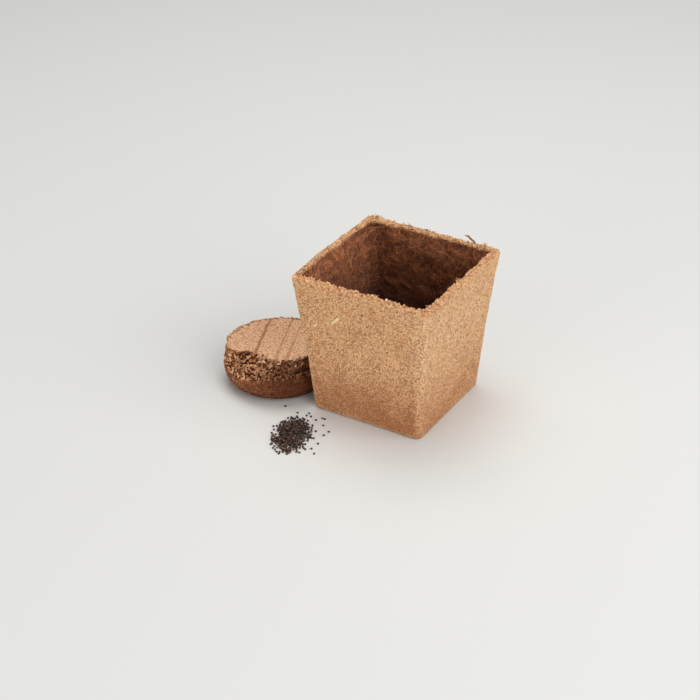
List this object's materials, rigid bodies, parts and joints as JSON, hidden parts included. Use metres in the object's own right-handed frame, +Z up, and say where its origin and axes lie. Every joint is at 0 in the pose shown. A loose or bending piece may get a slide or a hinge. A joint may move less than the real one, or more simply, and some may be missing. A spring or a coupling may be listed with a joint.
{
  "type": "square peat pot with soil disc and seeds",
  "caption": "Square tapered plant pot of felted peat fibre, open at the top with a drain hole, with a pressed soil disc beside it and a heap of small black seeds.",
  "frame": {"origin": "middle of the pot's base, where the drain hole meets the table", "axes": "+Z up out of the pot's mouth, X and Y square to the pot's walls; the soil disc stands against the -X wall and the seeds lie in front of the -Y wall"},
  "size_m": [0.1337, 0.1182, 0.08],
  "materials": {
    "felted_peat": "matte",
    "pressed_soil": "matte",
    "seed_coat": "matte"
  },
  "bodies": {
    "pot": {"pot": "felted_peat", "seed_heap": "seed_coat", "stray_seeds": "seed_coat"},
    "soil_disc": {"soil_disc": "pressed_soil"}
  },
  "joints": [
    {"name": "soil_disc_lift", "type": "slide", "parent": "pot", "child": "soil_disc", "axis": [-0.0995, 0, 0.995], "range_m": [0, 0.085]}
  ]
}
